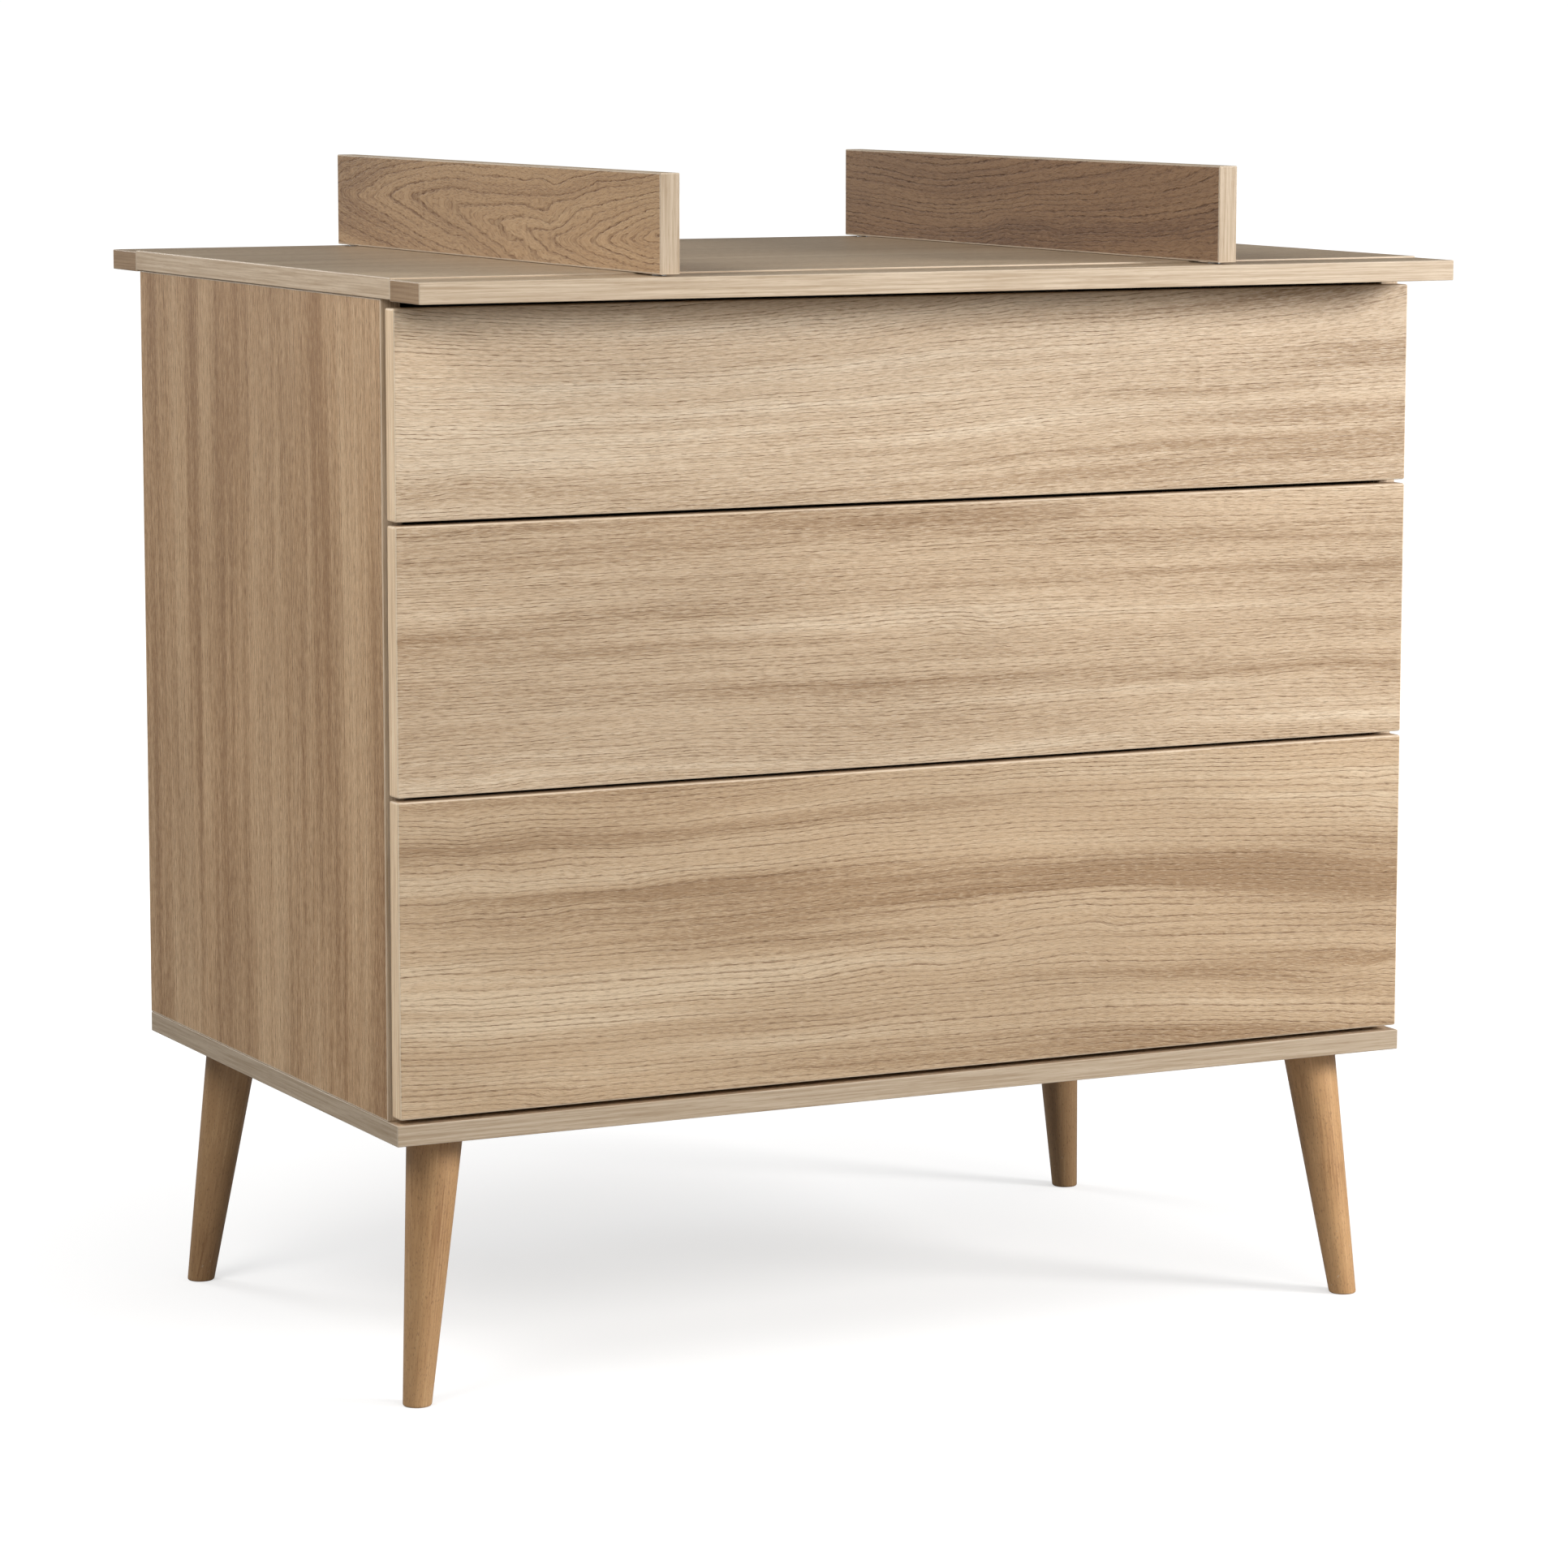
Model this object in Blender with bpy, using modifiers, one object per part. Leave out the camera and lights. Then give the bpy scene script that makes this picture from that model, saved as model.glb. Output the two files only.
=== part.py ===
"""Chest of three push-to-open drawers on splayed legs, with a lift-off changing extension on its top.

Metres, +Z up, +X to the right, -Y to the front. The origin is on the floor, under the middle of the chest.
"""

from collections import namedtuple
from math import cos, pi, sin

import bmesh
import bpy
from mathutils import Matrix, Vector

# Boards, and the gaps between pieces that touch or slide
BOARD = 0.018
DRAWER_BOARD = 0.012
HARDBOARD = 0.003
SEAM = 0.0003
BOARD_EDGE = 0.0008
FRONT_EDGE = 0.0018
EDGE_SEGMENTS = 3

# Chest
BODY_WIDTH = 0.996
BODY_DEPTH = 0.597
TOP_OVERHANG_SIDE = 0.002
TOP_OVERHANG_FRONT = 0.004
GROOVE_DEPTH = 0.006
BACK_PANEL_INSET = 0.012

# Legs
LEG_HEIGHT = 0.234
LEG_INSET_X = 0.0595
LEG_INSET_Y = 0.060
LEG_SPLAY_X = 0.028
LEG_SPLAY_Y = 0.0225
LEG_TOP_RADIUS = 0.0245
FOOT_RADIUS = 0.0125
FOOT_ROUNDING = 0.0018
LEG_SIDES = 48
BOLT_RADIUS = 0.004
BOLT_IN_LEG = 0.030
BOLT_IN_PANEL = 0.013
BOLT_POINT = 0.004

# Drawers: the gaps around the fronts, then each drawer's own sizes
FRONT_INSET_SIDE = 0.0025
FRONT_GAP_BEHIND = 0.003
FRONT_GAP_BELOW = 0.0045
FRONT_GAP_BETWEEN = 0.0035
FRONT_GAP_ABOVE = 0.0075
BOX_ROOM_BEHIND = 0.064
BOX_ROOM_ABOVE = 0.040
BOX_LIFT = 0.022
BOX_BOTTOM_RISE = 0.012
Drawer = namedtuple("Drawer", "name front_height")
DRAWERS = (
    Drawer("bottom", 0.2695),
    Drawer("middle", 0.2270),
    Drawer("top", 0.1765),
)

# Ball-bearing runners: three nested channels on each side of a drawer
RUNNER_THICKNESS = 0.0127
RUNNER_HEIGHT = 0.045
RUNNER_RISE = 0.035
RUNNER_SHEET = 0.0012
RUNNER_SETBACK = 0.004
RUNNER_TIP_GAP = 0.0017
RUNNER_WEB_GAP = 0.0018
RUNNER_BALL_ROOM = 0.0023

# Push latches
LATCH_SIDE_GAP = 0.0007
LATCH_HEIGHT = 0.016
LATCH_LENGTH = 0.060
LATCH_SETBACK = 0.008
LATCH_ABOVE_RUNNER = 0.0145
LATCH_EDGE = 0.001
PLUNGER_RADIUS = 0.004
PLUNGER_TRAVEL = 0.003
PLUNGER_TIP_GAP = 0.0024
PLUNGER_IN_LATCH = 0.030

# Changing extension
RAIL_DEPTH = 0.062
RAIL_DROP = 0.0013
PARTITION_HEIGHT = 0.084
PARTITION_SPACING = 0.522
PARTITION_SETBACK = 0.010
SCREW_RADIUS = 0.0025
SCREW_HEAD_RADIUS = 0.005
SCREW_HEAD_HEIGHT = 0.003
SCREW_COLLAR_RADIUS = 0.006
SCREW_IN_PARTITION = 0.035

TURNED_STEPS = 24
NOSE_STEPS = 6

# Levels and faces that follow from the sizes above
PANEL_TOP = LEG_HEIGHT + BOARD
FRONT_STACK = sum(drawer.front_height for drawer in DRAWERS) + FRONT_GAP_BETWEEN * (len(DRAWERS) - 1)
SIDE_HEIGHT = FRONT_GAP_BELOW + FRONT_STACK + FRONT_GAP_ABOVE
TOP_UNDERSIDE = PANEL_TOP + SIDE_HEIGHT
TOP_SURFACE = TOP_UNDERSIDE + BOARD
BODY_HALF = BODY_WIDTH / 2
BODY_FRONT = -BODY_DEPTH / 2
BODY_BACK = BODY_DEPTH / 2
INNER_HALF = BODY_HALF - BOARD
TOP_HALF = BODY_HALF + TOP_OVERHANG_SIDE
TOP_FRONT = BODY_FRONT - TOP_OVERHANG_FRONT
TOP_BACK = BODY_BACK + TOP_OVERHANG_FRONT
FRONT_BACK_FACE = BODY_FRONT + BOARD
SIDE_FRONT = FRONT_BACK_FACE + FRONT_GAP_BEHIND
BACK_PANEL_FACE = BODY_BACK - BACK_PANEL_INSET - HARDBOARD
BOX_HALF = INNER_HALF - RUNNER_THICKNESS - 2 * SEAM
BOX_BACK = BACK_PANEL_FACE - BOX_ROOM_BEHIND
RUNNER_LENGTH = BOX_BACK - FRONT_BACK_FACE
MIDDLE_CHANNEL_OFFSET = RUNNER_SHEET + RUNNER_WEB_GAP
CHANNEL_STEP = 2 * (RUNNER_SHEET + RUNNER_BALL_ROOM)
LATCH_THICKNESS = RUNNER_THICKNESS - LATCH_SIDE_GAP
LATCH_RISE = RUNNER_RISE + RUNNER_HEIGHT / 2 + LATCH_ABOVE_RUNNER + LATCH_HEIGHT / 2
RAIL_TOP = TOP_SURFACE - RAIL_DROP
EXTENSION_FRONT = TOP_FRONT - SEAM - RAIL_DEPTH
EXTENSION_BACK = TOP_BACK + SEAM + RAIL_DEPTH
PARTITION_BOTTOM = TOP_SURFACE + SEAM

SIDES = (("left", -1), ("right", 1))
ENDS = (("front", -1), ("back", 1))

# Finishes: base colour, roughness, metallic
Finish = namedtuple("Finish", "colour roughness metallic")
OAK_LAMINATE = Finish((0.50, 0.34, 0.20), 0.45, 0.0)
OAK_PARTITION = Finish((0.36, 0.23, 0.13), 0.50, 0.0)
STAINED_BEECH = Finish((0.26, 0.14, 0.065), 0.40, 0.0)
DRAWER_LAMINATE = Finish((0.62, 0.60, 0.56), 0.50, 0.0)
WHITE_HARDBOARD = Finish((0.66, 0.64, 0.60), 0.60, 0.0)
ZINC_STEEL = Finish((0.60, 0.61, 0.62), 0.35, 1.0)
GREY_PLASTIC = Finish((0.35, 0.36, 0.37), 0.50, 0.0)

PARTS = bpy.data.collections.new("changing_table")
CUTTERS = bpy.data.collections.new("cutters")


# --- placing and finishing -------------------------------------------------------------------------


def clear_scene():
    for existing in list(bpy.data.objects):
        bpy.data.objects.remove(existing)
    for collection in (PARTS, CUTTERS):
        bpy.context.scene.collection.children.link(collection)


def body_empty(name, place):
    """The empty that carries one moving body, at the place its pieces are measured from."""
    empty = bpy.data.objects.new(name, None)
    empty.empty_display_size = 0.05
    empty.location = place
    PARTS.objects.link(empty)
    return empty


def put(piece, place, body):
    """Links a piece into the parts and stands it at a world place, as a child of its body's empty."""
    PARTS.objects.link(piece)
    piece.parent = body
    piece.location = Vector(place) - body.location


def coat(piece, finish):
    """A material of the piece's own, from a finish."""
    material = bpy.data.materials.new(piece.name + "_finish")
    material.use_nodes = True
    shader = material.node_tree.nodes["Principled BSDF"]
    shader.inputs["Base Color"].default_value = (*finish.colour, 1.0)
    shader.inputs["Roughness"].default_value = finish.roughness
    shader.inputs["Metallic"].default_value = finish.metallic
    material.diffuse_color = (*finish.colour, 1.0)
    piece.data.materials.append(material)


def hide_cutter(cutter):
    CUTTERS.objects.link(cutter)
    cutter.hide_render = True
    cutter.display_type = "WIRE"
    return cutter


def cut(piece, *cutters):
    for cutter in cutters:
        modifier = piece.modifiers.new("cut_" + cutter.name, "BOOLEAN")
        modifier.operation = "DIFFERENCE"
        modifier.solver = "EXACT"
        modifier.object = cutter


def round_edges(piece, width, limit="ANGLE"):
    modifier = piece.modifiers.new("round_edges", "BEVEL")
    modifier.width = width
    modifier.segments = EDGE_SEGMENTS
    modifier.limit_method = limit


# --- shapes ----------------------------------------------------------------------------------------


def box_mesh(name, size):
    mesh = bpy.data.meshes.new(name)
    shape = bmesh.new()
    bmesh.ops.create_cube(shape, size=1.0, matrix=Matrix.Diagonal((*size, 1.0)))
    shape.to_mesh(mesh)
    shape.free()
    return mesh


def board(name, low, high, finish, body, edge=BOARD_EDGE):
    """A flat board between two corners, its edges eased."""
    low, high = Vector(low), Vector(high)
    piece = bpy.data.objects.new(name, box_mesh(name, high - low))
    put(piece, (low + high) / 2, body)
    coat(piece, finish)
    if edge:
        round_edges(piece, edge)
    return piece


def box_cutter(name, low, high):
    low, high = Vector(low), Vector(high)
    cutter = bpy.data.objects.new(name, box_mesh(name, high - low))
    cutter.location = (low + high) / 2
    return hide_cutter(cutter)


def slot_cutter(panel_name, low, high):
    """The slot that a thin panel between two corners sits in: the panel with a seam all round."""
    around = Vector((SEAM, SEAM, SEAM))
    return box_cutter(panel_name + "_slot", Vector(low) - around, Vector(high) + around)


def turned(name, profile):
    """A turned shape about its own Z. The profile is (radius, height) points from the top down."""
    mesh = bpy.data.meshes.new(name)
    shape = bmesh.new()
    points = [shape.verts.new((radius, 0, height)) for radius, height in profile]
    for upper, lower in zip(points, points[1:]):
        shape.edges.new((upper, lower))
    shape.to_mesh(mesh)
    shape.free()
    piece = bpy.data.objects.new(name, mesh)
    turn = piece.modifiers.new("turn", "SCREW")
    turn.axis = "Z"
    turn.steps = TURNED_STEPS
    turn.render_steps = TURNED_STEPS
    turn.use_merge_vertices = True
    turn.merge_threshold = 0.00001
    turn.use_smooth_shade = True
    return piece


def turned_cutter(name, profile, place, rotation=(0, 0, 0)):
    cutter = turned(name, profile)
    cutter.location = place
    cutter.rotation_euler = rotation
    return hide_cutter(cutter)


# --- chest -----------------------------------------------------------------------------------------


def back_panel_corners():
    """The thin back panel reaches into grooves in the sides, the top and the bottom."""
    reach = GROOVE_DEPTH - SEAM
    low = (-INNER_HALF - reach, BACK_PANEL_FACE, PANEL_TOP - reach)
    high = (INNER_HALF + reach, BACK_PANEL_FACE + HARDBOARD, TOP_UNDERSIDE + reach)
    return low, high


def make_carcass(chest):
    slot = slot_cutter("back_panel", *back_panel_corners())
    bottom = board(
        "bottom_panel",
        (-BODY_HALF, BODY_FRONT, LEG_HEIGHT),
        (BODY_HALF, BODY_BACK, PANEL_TOP),
        OAK_LAMINATE,
        chest,
    )
    cut(bottom, slot)
    top = board(
        "top_panel",
        (-TOP_HALF, TOP_FRONT, TOP_UNDERSIDE),
        (TOP_HALF, TOP_BACK, TOP_SURFACE),
        OAK_LAMINATE,
        chest,
    )
    cut(top, slot)
    for side, sign in SIDES:
        faces = sorted((sign * INNER_HALF, sign * BODY_HALF))
        panel = board(
            "side_panel_" + side,
            (faces[0], SIDE_FRONT, PANEL_TOP + SEAM),
            (faces[1], BODY_BACK, TOP_UNDERSIDE - SEAM),
            OAK_LAMINATE,
            chest,
        )
        cut(panel, slot)
    board("back_panel", *back_panel_corners(), WHITE_HARDBOARD, chest, edge=0)
    return bottom


# --- legs ------------------------------------------------------------------------------------------


def leg_mesh(name, lean_x, lean_y):
    """A tapered round leg, sheared so that both ends stay level, with its foot's edge marked for rounding."""
    height = LEG_HEIGHT - SEAM
    mesh = bpy.data.meshes.new(name)
    shape = bmesh.new()
    bmesh.ops.create_cone(
        shape,
        cap_ends=True,
        segments=LEG_SIDES,
        radius1=FOOT_RADIUS,
        radius2=LEG_TOP_RADIUS,
        depth=height,
        matrix=Matrix.Translation((0, 0, -height / 2)),
    )
    weight = shape.edges.layers.float.new("bevel_weight_edge")
    for edge in shape.edges:
        if all(vert.co.z < -height / 2 for vert in edge.verts):
            edge[weight] = 1.0
    lean = Matrix.Shear("XY", 4, (-lean_x / height, -lean_y / height))
    bmesh.ops.transform(shape, matrix=lean, verts=shape.verts)
    shape.to_mesh(mesh)
    shape.free()
    mesh.shade_smooth()
    mesh.set_sharp_from_angle(angle=pi / 4)
    return mesh


def bolt_profile(clearance):
    """A double-ended bolt, or its hole, about its own Z. Zero height is the face between leg and panel."""
    radius = BOLT_RADIUS + clearance
    above = BOLT_IN_PANEL + clearance
    below = BOLT_IN_LEG + clearance
    return [
        (0, above),
        (radius, above),
        (radius, BOLT_POINT - below),
        (radius / 2, -below),
        (0, -below),
    ]


def make_legs(chest, bottom_panel):
    for end, y_sign in ENDS:
        for side, x_sign in SIDES:
            label = end + "_" + side
            x = x_sign * (BODY_HALF - LEG_INSET_X)
            y = y_sign * (BODY_DEPTH / 2 - LEG_INSET_Y)
            leg = bpy.data.objects.new(
                "leg_" + label,
                leg_mesh("leg_" + label, x_sign * LEG_SPLAY_X, y_sign * LEG_SPLAY_Y),
            )
            put(leg, (x, y, LEG_HEIGHT - SEAM), chest)
            coat(leg, STAINED_BEECH)
            round_edges(leg, FOOT_ROUNDING, limit="WEIGHT")
            bolt = turned("leg_bolt_" + label, bolt_profile(0.0))
            put(bolt, (x, y, LEG_HEIGHT), chest)
            coat(bolt, ZINC_STEEL)
            hole = turned_cutter("leg_bolt_hole_" + label, bolt_profile(SEAM), (x, y, LEG_HEIGHT))
            cut(leg, hole)
            cut(bottom_panel, hole)


# --- drawers ---------------------------------------------------------------------------------------


def make_drawer_box(drawer, floor, body):
    """Sides, back and a thin bottom that sits in slots in all four walls. Returns the slots' cutter."""
    top = floor + drawer.front_height - BOX_LIFT - BOX_ROOM_ABOVE
    front = FRONT_BACK_FACE + SEAM
    inner = BOX_HALF - DRAWER_BOARD
    reach = GROOVE_DEPTH - SEAM
    bottom_corners = (
        (-inner - reach, FRONT_BACK_FACE - reach, floor + BOX_BOTTOM_RISE),
        (inner + reach, BOX_BACK - DRAWER_BOARD + reach, floor + BOX_BOTTOM_RISE + HARDBOARD),
    )
    slot = slot_cutter("drawer_bottom_" + drawer.name, *bottom_corners)
    for side, sign in SIDES:
        faces = sorted((sign * inner, sign * BOX_HALF))
        wall = board(
            f"drawer_side_{drawer.name}_{side}",
            (faces[0], front, floor),
            (faces[1], BOX_BACK, top),
            DRAWER_LAMINATE,
            body,
        )
        cut(wall, slot)
    back = board(
        "drawer_back_" + drawer.name,
        (-inner + SEAM, BOX_BACK - DRAWER_BOARD, floor),
        (inner - SEAM, BOX_BACK, top),
        DRAWER_LAMINATE,
        body,
    )
    cut(back, slot)
    board("drawer_bottom_" + drawer.name, *bottom_corners, WHITE_HARDBOARD, body, edge=0)
    return slot


def make_drawer(drawer, front_bottom, body):
    floor = front_bottom + BOX_LIFT
    slot = make_drawer_box(drawer, floor, body)
    half = BODY_HALF - FRONT_INSET_SIDE
    front = board(
        "drawer_front_" + drawer.name,
        (-half, BODY_FRONT, front_bottom),
        (half, FRONT_BACK_FACE, front_bottom + drawer.front_height),
        OAK_LAMINATE,
        body,
        edge=FRONT_EDGE,
    )
    cut(front, slot)
    return floor


# --- runners ---------------------------------------------------------------------------------------


def channel(name, web_x, opens, height, flange, front_place, body):
    """A steel channel along Y from its front end's place (y, z). Its web's outer face is at web_x, and its
    flanges reach in direction opens."""
    front, z = front_place
    near, far = 0.0, opens * flange
    inner = opens * RUNNER_SHEET
    top, low = height / 2, height / 2 - RUNNER_SHEET
    outline = [
        (near, -top),
        (far, -top),
        (far, -low),
        (inner, -low),
        (inner, low),
        (far, low),
        (far, top),
        (near, top),
    ]
    curve = bpy.data.curves.new(name, "CURVE")
    curve.dimensions = "2D"
    curve.fill_mode = "BOTH"
    curve.extrude = RUNNER_LENGTH / 2
    spline = curve.splines.new("POLY")
    spline.points.add(len(outline) - 1)
    for point, (across, up) in zip(spline.points, outline):
        point.co = (across, up, 0, 1)
    spline.use_cyclic_u = True
    piece = bpy.data.objects.new(name, curve)
    put(piece, (web_x, front + RUNNER_LENGTH / 2, z), body)
    piece.rotation_euler = (pi / 2, 0, 0)
    coat(piece, ZINC_STEEL)
    return piece


def make_runners(drawer, floor, chest, middle_body, drawer_body):
    """Cabinet, middle and drawer channels on both sides, nested with room for the balls between flanges."""
    z = floor + RUNNER_RISE
    front = SIDE_FRONT + RUNNER_SETBACK
    middle_flange = RUNNER_THICKNESS - MIDDLE_CHANNEL_OFFSET - RUNNER_TIP_GAP
    for side, sign in SIDES:
        wall = sign * (INNER_HALF - SEAM)
        levels = (
            ("cabinet", chest, 0.0, -sign, RUNNER_THICKNESS - RUNNER_TIP_GAP),
            ("middle", middle_body, MIDDLE_CHANNEL_OFFSET, -sign, middle_flange),
            ("drawer", drawer_body, RUNNER_THICKNESS, sign, middle_flange - RUNNER_SHEET),
        )
        for step, (level, body, offset, opens, flange) in enumerate(levels):
            channel(
                f"runner_{level}_{drawer.name}_{side}",
                wall - sign * offset,
                opens,
                RUNNER_HEIGHT - step * CHANNEL_STEP,
                flange,
                (front, z),
                body,
            )


# --- push latches ----------------------------------------------------------------------------------


def plunger_profile(radius, length):
    """A rod with a round nose at its top, where its height is zero."""
    angles = [pi / 2 * step / NOSE_STEPS for step in range(NOSE_STEPS + 1)]
    nose = [(radius * sin(angle), radius * (cos(angle) - 1)) for angle in angles]
    return [*nose, (radius, -length), (0, -length)]


def make_latch(drawer, floor, chest, plunger_body):
    """A sprung plunger in a bored housing, screwed to the left side panel above the runner."""
    z = floor + LATCH_RISE
    outer = -INNER_HALF + SEAM
    x = outer + LATCH_THICKNESS / 2
    face = SIDE_FRONT + LATCH_SETBACK
    tip = FRONT_BACK_FACE + PLUNGER_TIP_GAP
    length = face - tip + PLUNGER_IN_LATCH
    along_y = (pi / 2, 0, 0)
    housing = board(
        "latch_housing_" + drawer.name,
        (outer, face, z - LATCH_HEIGHT / 2),
        (outer + LATCH_THICKNESS, face + LATCH_LENGTH, z + LATCH_HEIGHT / 2),
        GREY_PLASTIC,
        chest,
        edge=LATCH_EDGE,
    )
    bore_depth = PLUNGER_IN_LATCH + PLUNGER_TRAVEL + PLUNGER_RADIUS
    bore_radius = PLUNGER_RADIUS + SEAM
    bore_mouth = PLUNGER_RADIUS
    bore = turned_cutter(
        "latch_bore_" + drawer.name,
        [(0, bore_mouth), (bore_radius, bore_mouth), (bore_radius, -bore_depth), (0, -bore_depth)],
        (x, face, z),
        along_y,
    )
    cut(housing, bore)
    plunger = turned("latch_plunger_" + drawer.name, plunger_profile(PLUNGER_RADIUS, length))
    put(plunger, (x, tip, z), plunger_body)
    plunger.rotation_euler = along_y
    coat(plunger, GREY_PLASTIC)


# --- changing extension ----------------------------------------------------------------------------


def screw_profile():
    """Thread, a collar that spaces rail and partition, shank and head, from the thread's end down. Zero height
    is the rail's top face."""
    gap = PARTITION_BOTTOM - RAIL_TOP
    head_top = SCREW_HEAD_HEIGHT - BOARD
    underside = SEAM - BOARD
    return [
        (0, gap + SCREW_IN_PARTITION),
        (SCREW_RADIUS, gap + SCREW_IN_PARTITION),
        (SCREW_RADIUS, gap - SEAM),
        (SCREW_COLLAR_RADIUS, gap - SEAM),
        (SCREW_COLLAR_RADIUS, SEAM),
        (SCREW_RADIUS, SEAM),
        (SCREW_RADIUS, head_top),
        (SCREW_HEAD_RADIUS, head_top),
        (SCREW_HEAD_RADIUS, underside),
        (0, underside),
    ]


def screw_hole_profile():
    """The stepped hole through rail and partition that the screw sits in, with a seam all round."""
    shank = SCREW_RADIUS + SEAM
    head = SCREW_HEAD_RADIUS + SEAM
    tip = PARTITION_BOTTOM - RAIL_TOP + SCREW_IN_PARTITION + SEAM
    head_top = SCREW_HEAD_HEIGHT - BOARD + SEAM
    below = -BOARD - SCREW_HEAD_HEIGHT
    return [(0, tip), (shank, tip), (shank, head_top), (head, head_top), (head, below), (0, below)]


def make_extension_screw(name, x, y, extension):
    """A screw up through a rail into a partition. Returns the cutter of its hole."""
    screw = turned(name, screw_profile())
    put(screw, (x, y, RAIL_TOP), extension)
    coat(screw, ZINC_STEEL)
    return turned_cutter(name + "_hole", screw_hole_profile(), (x, y, RAIL_TOP))


def make_extension(extension):
    """Two rails that trap the top panel between them, and two upright partitions that stand across it."""
    rails = {}
    for end, sign in ENDS:
        faces = sorted((sign * (TOP_BACK + SEAM), sign * EXTENSION_BACK))
        rails[end] = board(
            "extension_rail_" + end,
            (-TOP_HALF, faces[0], RAIL_TOP - BOARD),
            (TOP_HALF, faces[1], RAIL_TOP),
            OAK_LAMINATE,
            extension,
        )
    for side, x_sign in SIDES:
        faces = sorted((x_sign * PARTITION_SPACING / 2, x_sign * (PARTITION_SPACING / 2 + BOARD)))
        partition = board(
            "partition_" + side,
            (faces[0], EXTENSION_FRONT + PARTITION_SETBACK, PARTITION_BOTTOM),
            (faces[1], EXTENSION_BACK - PARTITION_SETBACK, PARTITION_BOTTOM + PARTITION_HEIGHT),
            OAK_PARTITION,
            extension,
        )
        for end, y_sign in ENDS:
            hole = make_extension_screw(
                f"partition_screw_{end}_{side}",
                sum(faces) / 2,
                y_sign * (TOP_BACK + SEAM + RAIL_DEPTH / 2),
                extension,
            )
            cut(partition, hole)
            cut(rails[end], hole)


# --- assembly --------------------------------------------------------------------------------------


def main():
    clear_scene()
    chest = body_empty("carcass", (0, 0, 0))
    bottom_panel = make_carcass(chest)
    make_legs(chest, bottom_panel)
    front_bottom = PANEL_TOP + FRONT_GAP_BELOW
    for drawer in DRAWERS:
        place = (0, BODY_FRONT, front_bottom + drawer.front_height / 2)
        drawer_body = body_empty("drawer_" + drawer.name, place)
        middle_body = body_empty("runner_middle_" + drawer.name, place)
        plunger_body = body_empty("plunger_" + drawer.name, place)
        floor = make_drawer(drawer, front_bottom, drawer_body)
        make_runners(drawer, floor, chest, middle_body, drawer_body)
        make_latch(drawer, floor, chest, plunger_body)
        front_bottom += drawer.front_height + FRONT_GAP_BETWEEN
    make_extension(body_empty("extension", (0, 0, TOP_SURFACE)))


main()
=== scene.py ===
"""Looks of a changing table: a chest of three push-to-open drawers on splayed legs, under a lift-off frame of
two rails and two partitions.

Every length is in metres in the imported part's frame: the object stands on z = 0 and its drawers face -Y.
"""

import math

import bmesh
import bpy
from mathutils import Euler, Matrix, Vector


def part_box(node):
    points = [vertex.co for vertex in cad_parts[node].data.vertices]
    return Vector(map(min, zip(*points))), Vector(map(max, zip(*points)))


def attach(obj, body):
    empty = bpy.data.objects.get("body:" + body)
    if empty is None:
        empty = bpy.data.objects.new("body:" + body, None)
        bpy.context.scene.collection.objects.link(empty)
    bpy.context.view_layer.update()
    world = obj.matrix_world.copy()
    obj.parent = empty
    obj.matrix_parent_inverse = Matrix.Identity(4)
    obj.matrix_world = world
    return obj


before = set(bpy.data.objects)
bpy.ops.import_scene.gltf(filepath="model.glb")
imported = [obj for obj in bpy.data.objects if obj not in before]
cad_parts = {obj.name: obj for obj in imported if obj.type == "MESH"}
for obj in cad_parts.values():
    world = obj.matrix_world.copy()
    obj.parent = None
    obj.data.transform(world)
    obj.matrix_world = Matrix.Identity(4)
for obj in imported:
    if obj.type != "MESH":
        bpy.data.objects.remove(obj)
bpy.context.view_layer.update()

DRAWERS = ("top", "middle", "bottom")
SIDES = (("left", -1), ("right", 1))
ENDS = (("front", -1), ("back", 1))
AXES = {"X": 0, "Y": 1, "Z": 2}

# ---------------------------------------------------------------- camera and light

CAMERA_PLACE = (-2.2047, -4.4068, 1.1669)
CAMERA_YAW, CAMERA_PITCH, CAMERA_ROLL = -26.735, -8.007, 0.064  # degrees
CAMERA_LENS, CAMERA_SENSOR = 123.73, 36.0  # mm

WORLD_LIGHT = (0.96, 0.98, 1.0)
WORLD_STRENGTH = 0.20
WHITE = 1.02  # the strength at which a background or the floor shows as white
FLOOR_SIZE = 60.0
FLOOR_BOUNCE = 0.38  # how much light the floor gives back to the object
FLOOR_GLOW = 0.75  # added to the floor as the camera sees it, so that it stays near white
FLOOR_SHADE = 0.50  # how strongly the lamps' shadows show on it
SHADOW_DEPTH, SHADOW_REACH = 0.24, 0.55  # the soft shadow under the object
SHADOW_LEAN = (0.15, -0.50, 0.85)  # where the light that leaves it comes from
FLOOR_NEAR, FLOOR_FAR = 0.9, 2.2  # the glow grows to full white between these distances

# name, centre, aim, size, watts, colour
LAMPS = (
    ("key", (2.8, -2.7, 1.8), (0.1, 0.0, 0.60), 1.2, 128.0, (1.0, 0.99, 0.98)),
    ("front", (0.6, -3.8, 2.2), (0.0, 0.0, 0.50), 2.2, 32.0, (1.0, 0.985, 0.965)),
    ("fill", (-2.2, -1.0, 2.4), (0.0, 0.0, 0.75), 1.5, 35.0, (1.0, 0.985, 0.96)),
    ("back", (-2.2, 4.2, 2.4), (0.0, 0.0, 0.5), 2.0, 78.0, (0.97, 0.985, 1.0)),
)


# ---------------------------------------------------------------- colours


def srgb(red, green, blue):
    """A colour given in 0 to 255 display values, as linear RGBA."""
    shares = (red / 255, green / 255, blue / 255)
    return tuple(c / 12.92 if c <= 0.04045 else ((c + 0.055) / 1.055) ** 2.4 for c in shares) + (1.0,)


def scaled(colour, factor):
    return tuple(min(1.0, c * factor) for c in colour[:3]) + (1.0,)


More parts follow.
